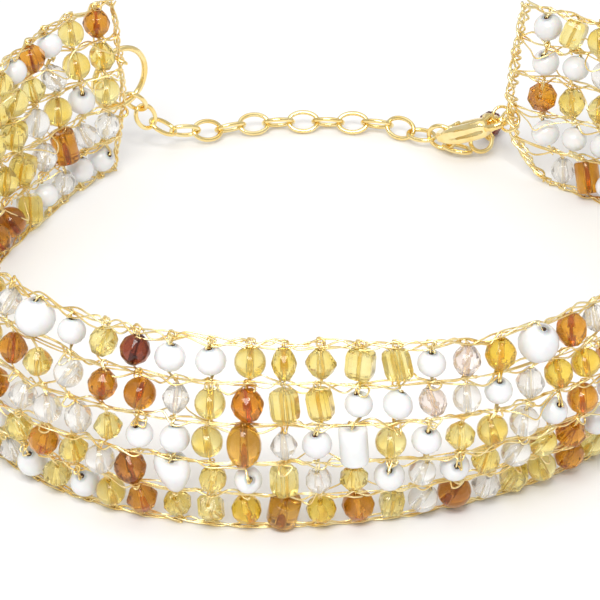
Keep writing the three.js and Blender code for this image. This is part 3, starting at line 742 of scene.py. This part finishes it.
# The ends: strands looped up the edge as in chain stitch, in so many steps, so wide, of such wire
for name, column, steps, wide, wire in (("left_end", 0, 18, 0.42, 0.13),
                                        ("right_end", COLUMNS + 1, 22, 0.75, 0.18)):
    skin = Skin()
    for strand in range(4):
        controls = []
        for i in range(steps + 1):
            v = EDGE + (BAND_HEIGHT - 2 * EDGE) * i / steps
            s = knot_along(column, 1)
            if column and v < CORNER_HEIGHT:
                s -= (CORNER_CUT - CORNER_BEND) * (1 - v / CORNER_HEIGHT) + CORNER_BEND
            elif column:
                s -= CORNER_BEND * max(0, 1 - (v - CORNER_HEIGHT) / CORNER_FADE)
            turn = 2 * math.pi * (i * 0.34 + strand / 4)
            reach = wide if strand < 3 else 0.25
            controls.append((s + reach * math.cos(turn) + weave.uniform(-0.22, 0.22),
                             v + weave.uniform(-0.2, 0.2), reach * math.sin(turn)))
        lay(skin, controls, wire)
    put(skin.build(f"net_{name}", wire_gold), "net", STRETCHES[0 if column == 0 else -1])

# ---------- metal pieces ----------

# Radii of the round wires
RING_WIRES = {"chain_link": 0.33, "tail_link": 0.33, "jump_ring": 0.22, "hoop_tie": 0.22}
HOOP_WIRE = 0.45

# The cast pieces
VOXEL = 0.11
SWELL = 0.004  # a round of smoothing takes off about this much
DOME = 0.5  # the clasp's long edges are drawn in by this where they meet its faces
GROOVE = 0.4  # and dip by this along their middle


def node_axes(name):
    """Middle and the long, middle and short axes of a node, with half its reach along each."""
    points = np.array([tuple(v.co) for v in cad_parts[name].data.vertices])
    _, axes = np.linalg.eigh(np.cov((points - points.mean(axis=0)).T))
    axes = axes.T[::-1]
    spans = [(points @ axis).min() for axis in axes], [(points @ axis).max() for axis in axes]
    middle = sum(axis * (low + high) / 2 for axis, low, high in zip(axes, *spans))
    reach = [(high - low) / 2 for low, high in zip(*spans)]
    return middle, axes, reach


def smooth_ring(name, wire):
    """A round-wired ring or link in the place of a faceted one."""
    middle, (long, wide, _), (a, b, _) = node_axes(name)
    steps = 36
    path = [Vector(middle + (a - wire) * math.cos(t) * long + (b - wire) * math.sin(t) * wide)
            for t in (2 * math.pi * i / steps for i in range(steps))]
    skin = Skin()
    tube(skin, path, wire, 10, closed=True)
    put(skin.build(name + "_round", plate_gold), "gold_metal", name)


for node in sorted(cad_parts):
    for start, radius in RING_WIRES.items():
        if node.startswith(start):
            smooth_ring(node, radius * MM)
smooth_ring("chain_hoop", HOOP_WIRE * MM)


def relax(piece, rounds):
    """Smooths a piece, in so many rounds."""
    smoothing = piece.modifiers.new("smooth", "SMOOTH")
    smoothing.factor = 0.5
    smoothing.iterations = rounds


def crown(piece, name):
    """Rounds the long edges of a cast piece across their thickness and dips their middle."""
    middle, (long, wide, thin), (a, b, c) = node_axes(name)
    for vertex in piece.data.vertices:
        place = np.array(vertex.co) - middle
        along, across, through = place @ long / a, place @ wide / b, place @ thin / c
        share = smoothstep(abs(across), 0.4, 0.8) * (1 if across > 0 else -1)
        dip = math.exp(-(through / 0.34) ** 2) * (1 - smoothstep(abs(along - 0.1), 0.4, 0.7))
        vertex.co -= Vector(wide * share * (DOME * through * through + GROOVE * dip) * MM)
    relax(piece, 16)
    settle(piece)


def cast(name, body, rounds):
    """A cast piece: the node's shape with its edges rounded over."""
    piece = bpy.data.objects.new(name + "_cast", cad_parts[name].data.copy())
    piece.matrix_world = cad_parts[name].matrix_world.copy()
    bpy.context.scene.collection.objects.link(piece)
    piece.data.materials.clear()
    piece.data.materials.append(plate_gold)
    remesh = piece.modifiers.new("skin", "REMESH")
    remesh.mode = "VOXEL"
    remesh.voxel_size = VOXEL * MM
    remesh.use_smooth_shade = True
    relax(piece, rounds)
    swell = piece.modifiers.new("swell", "DISPLACE")
    swell.mid_level = 0
    swell.strength = SWELL * rounds * MM
    settle(piece)
    if name == "clasp_body":
        crown(piece, name)
    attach(piece, body)
    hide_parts(name)


cast("clasp_body", BODY, 26)
cast("clasp_lever", "clasp_lever", 12)
cast("drop_pin", BODY, 4)
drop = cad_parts["drop_bead"]
drop.data.materials.clear()
drop.data.materials.append(GLASS["dark"])

# ---------- floor, light and camera ----------

floor_material, floor_shader = principled("floor_card", Roughness=0.7)
mottled(floor_material, floor_shader, ((0.9, 0.895, 0.89), (0.91, 0.905, 0.9)), 8)
bpy.ops.mesh.primitive_plane_add(size=6)
floor = bpy.context.object
floor.name = "floor"
floor.data.materials.append(floor_material)

world = bpy.data.worlds.new("studio")
bpy.context.scene.world = world
world.use_nodes = True
world.node_tree.nodes["Background"].inputs["Color"].default_value = (1, 0.99, 0.985, 1)
world.node_tree.nodes["Background"].inputs["Strength"].default_value = 0.61


def softbox(name, place, target, size, energy):
    """A rectangular light at a place, turned to a target; metres and watts."""
    light = bpy.data.lights.new(name, "AREA")
    light.shape = "RECTANGLE"
    light.size, light.size_y = size
    light.energy = energy
    holder = bpy.data.objects.new(name, light)
    holder.location = place
    holder.rotation_euler = (Vector(target) - Vector(place)).to_track_quat("-Z", "Y").to_euler()
    bpy.context.scene.collection.objects.link(holder)


softbox("overhead", (0, 0.25, 0.85), (0, 0.03, 0), (1.2, 1.0), 2.1)
softbox("key", (-0.14, -0.5, 0.68), (0, 0, 0), (0.42, 0.36), 3.9)
softbox("spark", (0.1, -0.45, 0.62), (0, 0, 0), (0.08, 0.08), 0.7)

SENSOR = 36  # millimetres, as the next two
LENS = 405
FOOT_BELOW = 13.32  # where the ray from the front foot meets the sensor, from its middle
DISTANCE = 0.9  # metres from the camera to the front foot
FRONT_FOOT = Vector((-CENTRE[0], -CENTRE[1], 0)) * MM
AIM_LOW = math.radians(32)  # elevation of that ray
elevation = AIM_LOW - math.atan(FOOT_BELOW / LENS)
camera_data = bpy.data.cameras.new("camera")
camera_data.sensor_width = SENSOR
camera_data.lens = LENS
camera = bpy.data.objects.new("camera", camera_data)
camera.location = FRONT_FOOT + DISTANCE * Vector((0, -math.cos(AIM_LOW), math.sin(AIM_LOW)))
camera.rotation_euler = (math.pi / 2 - elevation, 0, 0)
bpy.context.scene.collection.objects.link(camera)
bpy.context.scene.camera = camera

view = bpy.context.scene.view_settings
view.view_transform = "Standard"
view.look = "None"
cycles = bpy.context.scene.cycles
cycles.max_bounces = 20
cycles.transmission_bounces = 16
cycles.glossy_bounces = 6
cycles.transparent_max_bounces = 8

bpy.context.view_layer.update()
